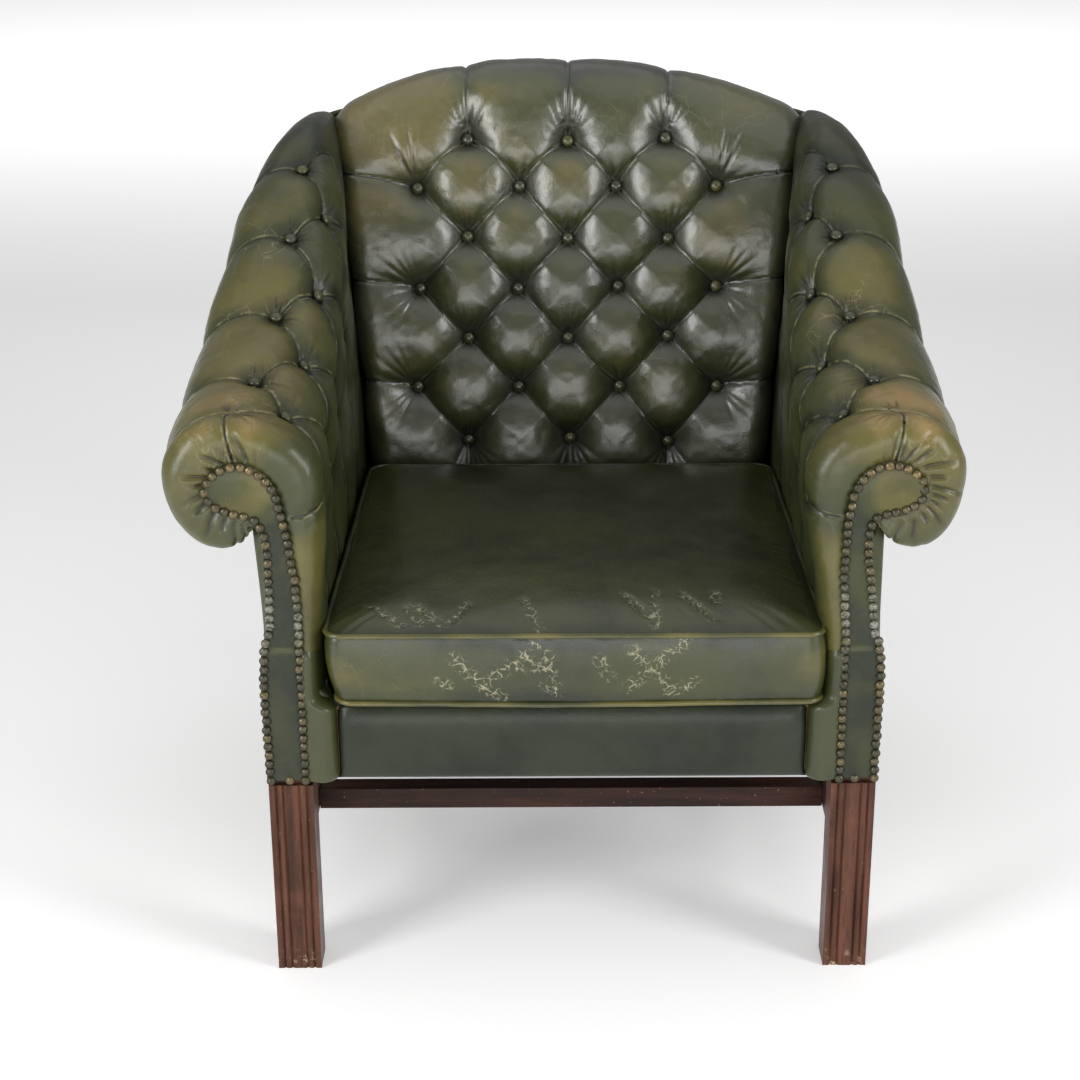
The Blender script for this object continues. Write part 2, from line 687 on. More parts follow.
def hide_finish(name, deep=DEEP_GREEN, green=GREEN, olive=OLIVE, tan=TAN, gloss=0.36,
                cracks=0.5, lips=0.7, scuffs=0.0, shine=1.0):
    """Dyed and polished hide: darker in its folds, rubbed to olive and tan where it is touched."""
    hide = Finish(name)
    cloudy = hide.noise(9.0, 4.0, 0.6)
    blotchy = hide.noise(34.0, 5.0, 0.65, twist=0.6)
    rub = hide.value("rub")
    pleat, button = hide.value("pleat"), hide.value("button")
    raised = hide.between(pleat, 0.002, 0.026, -0.10, 0.10)
    worn = hide.plus(rub, hide.swing(cloudy, 0.55))
    worn = hide.plus(worn, raised)
    worn = hide.plus(worn, hide.swing(blotchy, 0.22))
    colour = hide.blend(hide.between(worn, 0.02, 0.36), deep, green)
    colour = hide.blend(hide.between(worn, 0.36, 0.74), colour, olive)
    colour = hide.blend(hide.between(worn, 0.72, 1.12), colour, tan)

    shade = hide.times(hide.between(pleat, 0.0002, 0.0021, 0.05, 1.0),
                       hide.between(button, 0.004, 0.038, 0.26, 1.0))
    shade = hide.times(shade, hide.between(hide.value("fold"), 0.12, 0.7, 1.0, 0.22))
    colour = hide.blend(hide.maths("SUBTRACT", 1.0, shade, limit=True), colour, NEARLY_BLACK)

    lip = hide.times(hide.between(pleat, 0.0014, 0.0024), hide.between(pleat, 0.0028, 0.0046, 1.0, 0.0))
    lip = hide.times(lip, hide.between(hide.noise(60.0, 4.0), 0.42, 0.60))
    lip = hide.times(lip, hide.between(rub, 0.15, 0.6, 0.3, 1.0))
    colour = hide.blend(hide.times(lip, lips), colour, WORN_LIP)

    crack = cracks_in(hide, rub, cracks)
    if scuffs:
        crack = hide.maths("MAXIMUM", crack, scuffs_in(hide, scuffs))
    hide.paint("Base Color", hide.blend(crack, colour, PALE_CRACK))

    rough = hide.plus(gloss, hide.swing(blotchy, 0.26))
    rough = hide.plus(rough, hide.times(crack, 0.3))
    rough = hide.plus(rough, hide.between(button, 0.006, 0.03, 0.2, 0.0))
    hide.paint("Roughness", rough)
    hide.paint("Specular IOR Level", 0.50 * shine)
    hide.paint("Coat Weight", 0.42 * shine)
    hide.paint("Coat Roughness", 0.24)

    fibres = hide.noise(48.0, 4.0, 0.6, place=hide.stretched((1.0, 1.0, 0.35)))
    normal = hide.bump(hide.cells(620.0), 0.0004, 0.35)
    normal = hide.bump(hide.noise(130.0, 5.0, 0.6, twist=1.2), 0.0012, 0.32, normal)
    normal = hide.bump(fibres, 0.0030, 0.25, normal)
    normal = hide.bump(hide.maths("SUBTRACT", 1.0, crack), 0.0006, 0.5, normal)
    hide.paint("Normal", normal)
    return hide.material


def dress(piece, material, replaced=()):
    """Gives a piece its finish and says what it is part of and what it stands in for."""
    piece.data.materials.clear()
    piece.data.materials.append(material)
    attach(piece, "root")
    if replaced:
        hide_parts(*replaced)


tufted_hide = hide_finish("tufted_hide", cracks=0.55, lips=0.40, gloss=0.33, shine=1.5)
back_hide, back_places = make_back()
dress(back_hide, tufted_hide, ["back_pad"])
back_buttons = covered_buttons("back_buttons", back_places, PUFF + 0.0064)
button_hide = hide_finish("button_hide", cracks=0.3, lips=0.0, gloss=0.30)
dress(back_buttons, button_hide)

# ------------------------------------------------------------ tufted arms
# The same hide drawn over the rolled arms: one long piece from the nails of the scroll, back over
# the roll and down the inside to the seat, with four lines of buttons and pleats between them.

ARM_CELL = 0.0029
ARM_PUFF = 0.0100
ARM_PUFF_REACH = 0.048
NOSE_DEPTH = 0.030
ARM_END = 0.7505
PANEL_X = 0.343                          # where the roll's underside meets the outside panel
WALL_FOOT_Z = 0.333                      # top of the seat rails, where the inside wall starts
ROLL_LENGTH = 0.67                       # of hide round an arm, from seat to outside panel
NOSE_ROWS = 26
FRAME_DEPTH = 0.7025                     # from the arm fronts to the frame's back, at the rails
REAR_RAKE = 0.103                        # and farther for each metre of height
TACK_X, WALL_TACK_X = 0.318, 0.306       # where its two long edges are tacked to the frame
SIDES = ((1, "right"), (-1, "left"))

# distance from the front, x of the roll's outside, x of its crown, x of its inside, crown height
ARM_RINGS = np.array((
    (0.030, 0.434, 0.360, 0.256, 0.673),
    (0.145, 0.434, 0.350, 0.258, 0.686),
    (0.278, 0.428, 0.340, 0.260, 0.720),
    (0.390, 0.415, 0.333, 0.264, 0.784),
    (0.505, 0.402, 0.331, 0.272, 0.843),
    (0.600, 0.377, 0.329, 0.288, 0.870),
    (0.680, 0.353, 0.318, 0.299, 0.868),
    (0.7505, 0.342, 0.314, 0.300, 0.846),
))
LEAN = 0.0080                            # the arm fronts have shifted over to the left
LEAN_FROM_Z, LEAN_FULL_Z = 0.412, 0.60


def leaned(places):
    """Points of the arm fronts, moved over with the leaning of the frame's upper part."""
    raised = smooth(places[..., 2], LEAN_FROM_Z, LEAN_FULL_Z)
    moved = places.copy()
    moved[..., 0] -= LEAN * raised * (1 - smooth(places[..., 1], FRONT + 0.25, FRONT + 0.60))
    return moved


# how far round the roll from its crown, then x and height of the nailed edge it is drawn to
SCROLL_EDGE = np.array((
    (-0.223, 0.333, 0.560), (-0.205, 0.345, 0.5655), (-0.185, 0.358, 0.568),
    (-0.160, 0.372, 0.573), (-0.132, 0.3815, 0.584), (-0.105, 0.384, 0.597),
    (-0.075, 0.378, 0.6085), (-0.040, 0.366, 0.6175), (0.000, 0.350, 0.6215),
    (0.045, 0.334, 0.618), (0.085, 0.318, 0.604), (0.125, 0.3075, 0.581),
    (0.175, 0.3015, 0.542), (0.235, 0.298, 0.490), (0.300, 0.2995, 0.430),
    (0.345, 0.300, 0.395),
))

# buttons: distance from the front, and how far round the roll from its crown
CROWN_BUTTONS = ((0.038, 0.004), (0.145, 0.006), (0.275, 0.004), (0.390, 0.006), (0.505, 0.004))
SHOULDER_BUTTONS = ((0.088, 0.062), (0.212, 0.065), (0.335, 0.062), (0.450, 0.060))
WALL_BUTTONS = ((0.045, 0.158), (0.150, 0.155), (0.278, 0.157), (0.395, 0.155), (0.505, 0.150))
LOW_BUTTONS = ((0.100, 0.242), (0.215, 0.240), (0.335, 0.243), (0.450, 0.240))
BEHIND_BACK = ((0.565, 0.048), (0.565, 0.240))
EYE = (0.350, 0.591)                     # middle of the scroll's round end
EYE_RADIUS = 0.030
GATHERS = 23                             # round the whole of it
GATHER_DEPTH = 0.0042


def eased(at, where, values):
    """A smooth curve through the values."""
    slope = np.gradient(values, where)
    k = np.clip(np.searchsorted(where, at) - 1, 0, len(where) - 2)
    span = where[k + 1] - where[k]
    t = np.clip((at - where[k]) / span, 0, 1)
    return ((1 + 2 * t) * (1 - t) ** 2 * values[k] + t * (1 - t) ** 2 * span * slope[k]
            + t * t * (3 - 2 * t) * values[k + 1] + t * t * (t - 1) * span * slope[k + 1])


def arc(centre, wide, high, start, end, count=24):
    """Points along part of an oval, by angles in degrees."""
    turn = np.radians(np.linspace(start, end, count))
    return np.stack([centre[0] + wide * np.cos(turn), centre[1] + high * np.sin(turn)], 1)


def arm_section(y, columns):
    """The roll's outline across the arm, from the foot of its inside wall over to its underside."""
    outer, crown, inner, top = (float(eased(y, ARM_RINGS[:, 0], ARM_RINGS[:, k])) for k in (1, 2, 3, 4))
    level = top - min(0.080, 0.010 + 1.6 * (crown - inner))
    rise = min(0.068, 0.012 + 1.1 * (outer - crown))
    under_x = min(PANEL_X, outer - 0.002)
    droop = 1 - float(smooth(y, 0.20, 0.50))
    lowest_x = under_x + (0.033 * (outer - under_x) / 0.082) * droop
    under = min(0.086, 0.008 + 1.05 * max(0, outer - 0.342))
    wall_x = 0.278 - 0.008 * min(y / 0.545, 1)
    height = level - WALL_FOOT_Z
    wall = bezier((wall_x, WALL_FOOT_Z), (wall_x, WALL_FOOT_Z + 0.55 * height),
                  (inner, level - 0.3 * height), (inner, level), 50)
    foot = 0.335 + 0.062 * (1 - float(smooth(y, 0.02, 0.07)))
    wall = wall[wall[:, 1] > foot]
    inside = arc((crown, level), crown - inner, top - level, 180, 90)
    outside = arc((crown, top - rise), outer - crown, rise, 90, 0)
    underside = arc((lowest_x, top - rise), outer - lowest_x, under, 0, -90)
    neck_high = 0.026 * droop
    neck = arc((lowest_x, top - rise - under + neck_high), lowest_x - under_x + 0.001, neck_high, -90, -180)
    line = np.concatenate([wall, inside[1:], outside[1:], underside[1:], neck[1:]])
    to_crown = travelled(np.concatenate([wall, inside[1:]]))[-1]
    line = evenly(line, columns)
    return line, to_crown - travelled(line)


def rear_depth(z):
    """How far behind the arm fronts the raked frame ends, at a height."""
    return FRAME_DEPTH + REAR_RAKE * np.clip(z - WALL_FOOT_Z, 0, None)


def arm_base(side):
    """Rows of points from the nailed edge round the padded nose and back along the roll."""
    columns = int(ROLL_LENGTH / ARM_CELL)
    ys = np.arange(0.025, ARM_END + ARM_CELL, ARM_CELL)
    sections = [arm_section(y, columns) for y in ys]
    lines = np.stack([line for line, way in sections])
    way = arm_section(NOSE_DEPTH, columns)[1]
    depth = NOSE_DEPTH + 0.022 * smooth(way, 0.06, 0.20)
    edge = np.stack([eased(way, SCROLL_EDGE[:, 0], SCROLL_EDGE[:, k]) for k in (1, 2)], 1)

    def across(y):
        return np.stack([[np.interp(y[j], ys, lines[:, j, k]) for j in range(columns)] for k in (0, 1)], 1)

    rim = across(depth)
    rows = []
    for turn in np.linspace(0, math.pi / 2, NOSE_ROWS):
        line = edge + (rim - edge) * math.sin(turn)
        y = 0.003 + (depth - 0.003) * (1 - math.cos(turn)) - 0.009 * math.sin(2 * turn)
        rows.append(np.column_stack([line[:, 0], y, line[:, 1]]))
    count = int((ARM_END - NOSE_DEPTH) / ARM_CELL)
    for k in range(1, count + 1):
        y = depth + (ARM_END - depth) * k / count
        line = across(y)
        rows.append(np.column_stack([line[:, 0], y, line[:, 1]]))
    base = np.stack(rows)
    y_of = base[:, :, 1].copy()
    rounds = np.stack([sections[int(min(max(np.searchsorted(ys, y), 1), len(ys) - 1))][1][j]
                       for row in y_of for j, y in enumerate(row)]).reshape(y_of.shape)
    base[:, :, 0] *= side
    spare = np.clip(ARM_END - rear_depth(base[:, :, 2]) + 0.004, 0, None)
    base[:, :, 1] += FRONT - spare * smooth(base[:, :, 1], 0.50, ARM_END)
    return leaned(base), rounds, y_of


def arm_buttons_and_pleats(base, rounds, ys, side):
    """The four lines of buttons, as row and column numbers, and the pleats between them."""
    last = base.shape[0] - 1
    jitter = np.random.default_rng(31 + side)

    def spot(place, loose=0.0):
        y, way = place[0] + jitter.uniform(-loose, loose), place[1] + jitter.uniform(-loose, loose)
        row, column = float(NOSE_ROWS), 0.0
        for again in range(3):
            column = np.interp(-way, -rounds[int(min(row, last))], np.arange(base.shape[1]))
            row = np.interp(y, ys[NOSE_ROWS // 3:, int(column)], np.arange(NOSE_ROWS // 3, last + 1))
        return row, column

    crown, shoulder, wall, low = (
        [spot(place, 0.003) for place in line]
        for line in (CROWN_BUTTONS, SHOULDER_BUTTONS, WALL_BUTTONS, LOW_BUTTONS))
    hidden = [spot(place) for place in BEHIND_BACK]
    foot, under = 0, base.shape[1] - 1
    pleats = []
    for upper, lower in ((crown, shoulder + hidden[:1]), (wall, shoulder + hidden[:1]),
                         (wall, low + hidden[1:])):
        for k, place in enumerate(lower):
            pleats.append(pleat_line(base, upper[k], place, 0.03))
            if k + 1 < len(upper):
                pleats.append(pleat_line(base, upper[k + 1], place, -0.03))
    for k, place in enumerate(crown):
        back_a_little = (place[0] - (2 if k == 0 else 9), under)
        pleats.append(pleat_line(base, place, back_a_little, -0.05 if k else 0.0, 30))
    for place in low:
        pleats.append(pleat_line(base, place, (place[0], foot), 0.0, 14))
    pleats.append(pleat_line(base, crown[0], (0, crown[0][1] + 1), 0.02, 16))
    pleats.append(pleat_line(base, wall[0], (3, wall[0][1] - 4), 0.04, 12))
    return (crown, shoulder, wall, low), pleats


def arm_fans(base, normal, button_lines, side):
    """The creases gathered at the arm's buttons, most of them towards the back."""
    crown, shoulder, wall, low = button_lines
    toward_back = (0, 1.0, 0.25)
    fans = []
    for line, aims, length, strength in (
            (crown, ((0, 1, 0.2), (-side, -0.4, 0)), 0.030, 0.0045),
            (shoulder, ((0, 1, 0.3), (-side, -0.4, -0.4)), 0.028, 0.0040),
            (wall, (toward_back,), 0.028, 0.0035),
            (low, (toward_back,), 0.024, 0.0030)):
        for place in line:
            centre, out = at_index(base, [place])[0], at_index(normal, [place])[0]
            for aim in aims:
                fans.append((centre, np.array(aim, float), out, 0.75, 12, length, strength))
    return fans


def nose_gathers(flat, y, side):
    """Where the hide is gathered into the nails round the eye, and how strongly."""
    angle = np.arctan2(flat[:, 2] - EYE[1], np.abs(flat[:, 0]) - EYE[0])
    from_eye = np.hypot(flat[:, 2] - EYE[1], np.abs(flat[:, 0]) - EYE[0]) - EYE_RADIUS
    wander = 2.0 * np.sin(angle * 3.3 + side) + 5 * from_eye / EYE_RADIUS
    gathers = (0.5 + 0.5 * np.cos(angle * GATHERS + wander)) ** 2
    shown = smooth(angle, -1.9, -1.6) * (1 - smooth(angle, 1.5, 2.3))
    tips = 0.036 + 0.013 * np.sin(angle * 11 + side * 2)
    band = smooth(from_eye, 0.002, 0.007) * (1 - smooth(from_eye, tips * 0.5, tips))
    return gathers, shown * band * (1 - smooth(y, 0.02, 0.05))


def arm_rub(flat, way, y):
    """How worn the arm is: most on the crown and at its front end."""
    on_crown = np.exp(-((way + 0.005) / 0.085) ** 2)
    ahead = 1 - smooth(y, 0.24, 0.56)
    tip = 1 - smooth(y, 0.05, 0.16)
    rub = 0.20 - 0.16 * smooth(y, 0.42, 0.60) + 0.42 * on_crown * ahead
    rub += 0.30 * on_crown * tip * smooth(flat[:, 2], 0.62, 0.67)
    rub += 0.17 * tip * smooth(-way, 0.02, 0.10) + 0.12 * soft_noise(flat, 0.07, 21)
    return rub + 0.30 * (1 - smooth(y, 0.0, 0.05)) * smooth(way, 0.10, 0.2)


def make_arm(side, name):
    """One whole buttoned arm, and where its buttons go."""
    base, rounds, ys = arm_base(side)
    normal = facing_out(base, side < 0)
    button_lines, pleats = arm_buttons_and_pleats(base, rounds, ys, side)
    crown, shoulder, wall, low = button_lines
    buttons = [place for line in (crown[1:], shoulder, wall[1:], low) for place in line]
    places = [(at_index(base, [b])[0], at_index(normal, [b])[0]) for b in buttons]

    flat, way, y = base.reshape(-1, 3), rounds.reshape(-1), ys.reshape(-1)
    front = 1 - smooth(y, 0.0, 0.062)
    ease = 1 - 0.72 * front - 0.28 * smooth(-way, 0.02, 0.12) * (1 - front)
    ease *= 1 - 0.6 * smooth(way, 0.26, 0.33)
    fans = arm_fans(base, normal, button_lines, side)
    points, nearest, gap, fold = tufted(base, normal, [place for place, out in places], pleats,
                                        ARM_CELL, ARM_PUFF, ARM_PUFF_REACH, fans, ease)
    gathers, held = nose_gathers(flat, y, side)
    points -= normal.reshape(-1, 3) * (GATHER_DEPTH * gathers * held)[:, None]
    fold = np.maximum(fold, gathers ** 1.5 * held * 0.62)
    values = hide_values(points, nearest, gap, arm_rub(flat, way, y), fold)

    def close_under(form):
        """Carries the hide's two long edges to the frame, where they are tacked, and shuts the ends."""
        for vert in turned_in(form):
            height = min(max(vert.co.z, 0.345), 0.80)
            depth = min(max(vert.co.y, FRONT + 0.006), FRONT + float(rear_depth(height)) - 0.008)
            reach = TACK_X if abs(vert.co.x) > TACK_X else WALL_TACK_X
            vert.co = (side * reach, depth, height)
        shut(form)

    piece = sheet_mesh(name, points, base.shape[0], base.shape[1], values, side < 0, close_under)
    return piece, places


arm_hide = hide_finish("arm_hide", cracks=0.85, lips=0.8, gloss=0.38, shine=0.7)
for side, word in SIDES:
    arm, places = make_arm(side, f"arm_hide_{word}")
    dress(arm, arm_hide, [f"arm_pad_{word}"])
    buttons = covered_buttons(f"arm_buttons_{word}", places, ARM_PUFF + 0.0066)
    dress(buttons, button_hide)

# ------------------------------------------------------------ front strips
# Below a seam the padded front of each arm runs on down beside the seat as a narrow stuffed strip,
# nailed along its outer edge and tucked under along its inner edge.

STRIP_FOOT = 0.243
STRIP_TOP = 0.412
STRIP_OUTER_X = 0.3025
STRIP_INNER_X = 0.2625                   # at its foot, beside the front border
STRIP_STEP = 0.0145                      # narrower than that beside the cushion
STRIP_SHALLOW, STRIP_DEEP = 0.020, 0.052
STRIP_SWELL = 0.0150


def make_strip(side, name):
    """A quarter-round roll, flat against the facing and stepped back beside the seat."""
    rows, columns = 70, 34
    points = np.zeros((rows, columns, 3))
    for i, z in enumerate(np.linspace(STRIP_FOOT, STRIP_TOP, rows)):
        inner_x = STRIP_INNER_X + STRIP_STEP * float(smooth(z, 0.333, 0.349))
        deep = STRIP_SHALLOW + (STRIP_DEEP - STRIP_SHALLOW) * float(smooth(z, 0.337, 0.349))
        end = min((z - STRIP_FOOT) / 0.005, (STRIP_TOP - z) / 0.014, 1)
        swell = STRIP_SWELL * math.sqrt(max(end, 0))
        turn = np.radians(np.linspace(0, 90, 40))
        x = STRIP_OUTER_X - (STRIP_OUTER_X - inner_x) * np.sin(turn)
        y = 0.004 + (deep - 0.004) * (1 - np.cos(turn)) - swell * np.sin(2 * turn) ** 0.8
        line = evenly(np.column_stack([x, y]), columns)
        points[i] = np.column_stack([side * line[:, 0], FRONT + line[:, 1], np.full(columns, z)])
    flat = points.reshape(-1, 3)
    flat[:, 1] += 0.0010 * soft_noise(flat, 0.022, 40 + side) + 0.0004 * soft_noise(flat, 0.008, 50)
    rub = 0.24 + 0.12 * soft_noise(flat, 0.05, 44)

    def close(form):
        shut(form)
        face_out(form)

    return sheet_mesh(name, flat, rows, columns, plain_values(flat, rub), side > 0, close)


front_hide = hide_finish("front_hide", cracks=0.4, lips=0.0, gloss=0.38, shine=0.75)
for side, word in SIDES:
    strip = make_strip(side, f"front_strip_{word}")
    dress(strip, front_hide)

# ------------------------------------------------------------ facings
# The front of each arm is covered by a lightly padded band of hide that widens into the round end
# of the scroll. It is seamed where the arm narrows and nailed all round its edge.

NAIL_PATH = (
    (0.300, 0.247), (0.300, 0.330), (0.300, 0.412), (0.2985, 0.450), (0.298, 0.490), (0.302, 0.543),
    (0.308, 0.583), (0.3135, 0.598), (0.322, 0.6095), (0.331, 0.6165), (0.340, 0.620), (0.349, 0.6215),
    (0.358, 0.620), (0.367, 0.6165), (0.376, 0.6095), (0.3825, 0.600), (0.384, 0.592), (0.381, 0.582),
    (0.372, 0.573), (0.358, 0.568), (0.343, 0.565), (0.332, 0.560), (0.326, 0.548), (0.324, 0.520),
    (0.326, 0.497), (0.330, 0.432), (0.3375, 0.412), (0.3405, 0.378), (0.3405, 0.345), (0.340, 0.311),
    (0.3390, 0.247),
)
SCROLL_TIP = 15                          # the place on that path farthest out
FACING_LAP = 0.0042                      # hide beyond the nails
FACING_DEPTH = 0.0060                    # its edge is turned back this far
SEAM_Z = 0.408


def make_facing(side, name):
    """A band between the two rows of nails, padded in the middle and seamed across."""
    path = np.array(NAIL_PATH)
    rows, columns = 190, 25
    inner = evenly(path[:SCROLL_TIP + 1], rows)
    outer = evenly(path[SCROLL_TIP:][::-1], rows)
    width = np.linalg.norm(outer - inner, axis=1, keepdims=True)
    aim = (outer - inner) / np.maximum(width, 1e-4)
    aim[-6:] = aim[-7]
    points = np.zeros((rows, columns, 3))
    for k, share in enumerate(np.linspace(0, 1, columns)):
        flat = (inner - aim * FACING_LAP) * (1 - share) + (outer + aim * FACING_LAP) * share
        edge = 1 - abs(2 * share - 1) ** 3
        pad = 0.0030 * edge + 0.0016 * edge * smooth(flat[:, 1], 0.55, 0.59)
        seam = np.exp(-((flat[:, 1] - SEAM_Z - 0.002 * math.sin(3 * share)) / 0.0022) ** 2)
        y = FRONT + 0.0016 - pad + 0.0018 * seam
        points[:, k] = np.column_stack([side * flat[:, 0], y, flat[:, 1]])
    flat = leaned(points.reshape(-1, 3))
    flat[:, 1] += 0.0005 * soft_noise(flat, 0.018, 90 + side) + 0.0003 * soft_noise(flat, 0.006, 92)
    eye = 1 - smooth(np.hypot(np.abs(flat[:, 0]) - EYE[0], flat[:, 2] - EYE[1]), 0.02, 0.05)
    rub = 0.03 + 0.46 * eye + 0.12 * soft_noise(flat, 0.03, 93)
    rub += 0.25 * np.exp(-((flat[:, 2] - SEAM_Z) / 0.004) ** 2)

    def turn_in(form):
        for vert in turned_in(form):
            vert.co.y = FRONT + FACING_DEPTH
        shut(form)
        bmesh.ops.remove_doubles(form, verts=form.verts[:], dist=1e-5)
        face_out(form)

    return sheet_mesh(name, flat, rows, columns, plain_values(flat, rub), side < 0, turn_in)


facing_hide = hide_finish("facing_hide", cracks=0.5, lips=0.0, gloss=0.42, shine=0.55)
for side, word in SIDES:
    facing = make_facing(side, f"facing_{word}")
    dress(facing, facing_hide, [f"arm_front_facing_{word}"])

# ------------------------------------------------------------ nails
# Domed upholstery nails of old bronze, set almost touching, run up the inner edge of each facing,
# round the scroll and down its outer edge to the leg.

NAIL_PITCH = 0.0105
NAIL_RADIUS = 0.0053
LAST_NAIL = (0.317, 0.2475)              # at the foot, between the two rows
NAIL_TILT = 0.12
NAIL_STRAY = 0.0006

# colours of the nails
OLD_BRONZE = (0.075, 0.072, 0.052)
RUBBED_BRASS = (0.27, 0.205, 0.095)
NAIL_DIRT = (0.030, 0.028, 0.020)
VERDIGRIS = (0.23, 0.25, 0.20)


def make_nails(side, name):
    """Every nail of one facing, each a little out of line, tilted and tarnished in its own way."""
    path = evenly(np.array(NAIL_PATH), 400)
    count = int(travelled(path)[-1] / NAIL_PITCH) + 1
    spots = np.concatenate([evenly(path, count), [LAST_NAIL]])
    form = bmesh.new()
    tone = form.verts.layers.float.new("tone")
    crust = form.verts.layers.float.new("crust")
    chance = np.random.default_rng(70 + side)
    for x, z in spots:
        made = bmesh.ops.create_uvsphere(form, u_segments=12, v_segments=8, radius=NAIL_RADIUS)["verts"]
        low = [vert for vert in made if vert.co.z < -0.0005]
        rest = [vert for vert in made if vert.co.z >= -0.0005]
        for vert in low:
            vert.co.z = -0.0012
        worn = chance.uniform(0, 1)
        golden = float(smooth(z, 0.585, 0.62)) * chance.uniform(0.3, 1)
        crusted = math.exp(-((z - 0.445) / 0.035) ** 2) * chance.uniform(0.3, 1)
        for vert in made:
            vert[tone] = min(1, worn ** 2 * 0.45 + golden * 0.6)
            vert[crust] = crusted
        for vert in rest:
            vert.co.z *= 0.66
        jitter = chance.uniform(-NAIL_STRAY, NAIL_STRAY, 2)
        lean = Matrix.Rotation(chance.uniform(-NAIL_TILT, NAIL_TILT), 4, "X")
        lean = lean @ Matrix.Rotation(chance.uniform(-NAIL_TILT, NAIL_TILT), 4, "Z")
        stand = Matrix.Rotation(math.pi / 2, 4, "X")
        spot = Vector(leaned(np.array((side * x + jitter[0], FRONT - 0.0012, z + jitter[1]))))
        bmesh.ops.transform(form, matrix=Matrix.Translation(spot) @ lean @ stand, verts=made)
    return made_piece(name, form)


def nail_finish():
    """Old bronze, rubbed bright in places and dirty or green in others."""
    brass = Finish("old_bronze")
    tone, crust = brass.value("tone"), brass.value("crust")
    dirt = brass.noise(420.0, 4.0, 0.6)
    colour = brass.blend(tone, OLD_BRONZE, RUBBED_BRASS)
    colour = brass.blend(brass.between(dirt, 0.42, 0.66, 0.0, 0.65), colour, NAIL_DIRT)
    bloom = brass.times(crust, brass.between(brass.noise(300.0, 4.0, 0.7), 0.40, 0.58))
    colour = brass.blend(bloom, colour, VERDIGRIS)
    brass.paint("Base Color", colour)
    brass.paint("Metallic", brass.maths("SUBTRACT", 0.85, bloom, limit=True))
    brass.paint("Roughness", brass.between(dirt, 0.3, 0.7, 0.30, 0.62))
    brass.paint("Normal", brass.bump(brass.noise(700.0, 3.0), 0.0003, 0.4))
    return brass.material


bronze = nail_finish()
for side, word in SIDES:
    dress(make_nails(side, f"facing_nails_{word}"), bronze)

# ------------------------------------------------------------ seat cushion
# A loose cushion of foam and feather in the same hide: plain top and bottom panels, a straight
# border between them and piping round both edges. The top is darkened and slack with use, and
# the front border is scuffed through to the pale hide.

CUSHION_FRONT_HALF = 0.2745
CUSHION_BACK_HALF = 0.2625
CUSHION_NEAR = FRONT - 0.003
CUSHION_FAR = FRONT + 0.538
CUSHION_FOOT = 0.3455
CUSHION_EDGE = 0.4245
CUSHION_CROWN = 0.0215
CUSHION_SHIFT = 0.003                    # it has been pushed a little to the right
CORNER = 0.020
PIPING = 0.0031
CUSHION_SWELL = 0.0055                   # of the border between its seams
SAT_HOLLOW = 0.004                       # left by use in the middle of the top
SCUFF_DEPTH = 0.0013

# scuffs on the front border, each from one place to another: x and height
BORDER_SCUFFS = (
    ((-0.130, 0.400), (-0.099, 0.366)), ((-0.099, 0.366), (-0.078, 0.353)),
    ((-0.099, 0.366), (-0.050, 0.407)), ((-0.050, 0.407), (-0.039, 0.425)),
    ((-0.039, 0.425), (-0.017, 0.359)), ((-0.052, 0.401), (-0.030, 0.388)),
    ((-0.060, 0.392), (-0.040, 0.404)), ((-0.047, 0.390), (-0.024, 0.399)),
    ((-0.145, 0.373), (-0.138, 0.368)), ((-0.030, 0.366), (-0.020, 0.364)),
    ((0.124, 0.420), (0.060, 0.363)), ((0.065, 0.411), (0.106, 0.366)),
    ((0.134, 0.372), (0.108, 0.357)), ((0.030, 0.398), (0.041, 0.379)),
)
# and on the top just behind the front edge: x and distance from the front
TOP_SCUFFS = (
    ((-0.226, 0.050), (-0.188, 0.010)), ((-0.183, 0.046), (-0.168, 0.014)),
    ((-0.172, 0.046), (-0.143, 0.010)), ((-0.116, 0.052), (-0.131, 0.018)),
    ((-0.054, 0.058), (-0.037, 0.006)), ((0.058, 0.068), (0.092, 0.010)),
    ((0.092, 0.076), (0.092, 0.018)), ((0.124, 0.068), (0.156, 0.018)),
    ((0.160, 0.072), (0.160, 0.052)),
)


def cushion_rim(columns):
    """The cushion's outline seen from above, anticlockwise from the middle of the back."""
    def corner(x, y, start):
        turn = np.radians(np.linspace(start, start + 90, 14))
        return [(x + CORNER * math.cos(a), y + CORNER * math.sin(a)) for a in turn]
    line = [(0, CUSHION_FAR)]
    line += corner(-CUSHION_BACK_HALF + CORNER, CUSHION_FAR - CORNER, 90)
    line += corner(-CUSHION_FRONT_HALF + CORNER, CUSHION_NEAR + CORNER, 180)
    line += corner(CUSHION_FRONT_HALF - CORNER, CUSHION_NEAR + CORNER, 270)
    line += corner(CUSHION_BACK_HALF - CORNER, CUSHION_FAR - CORNER, 0)
    line.append((0, CUSHION_FAR))
    rim = evenly(np.array(line), columns) + np.array([CUSHION_SHIFT, 0])
    run = np.roll(rim[:-1], -1, 0) - np.roll(rim[:-1], 1, 0)
    run = np.concatenate([run, run[:1]])
    out = np.stack([run[:, 1], -run[:, 0]], 1)
    return rim, out / np.linalg.norm(out, axis=1, keepdims=True)


def tuck(rim):
    """How far its left side is drawn in towards the bottom at the front."""
    return 0.010 * smooth(-rim[:, 0], 0.20, 0.27) * (1 - smooth(rim[:, 1], FRONT, FRONT + 0.2))


def edge_sag(x):
    """The bottom edge hangs a little lower in the middle."""
    return -0.0030 * np.exp(-(x / 0.16) ** 2)


def close_ring(form):
    """Joins the two ends of a sheet that goes all the way round."""
    bmesh.ops.remove_doubles(form, verts=form.verts[:], dist=1e-6)
    face_out(form)


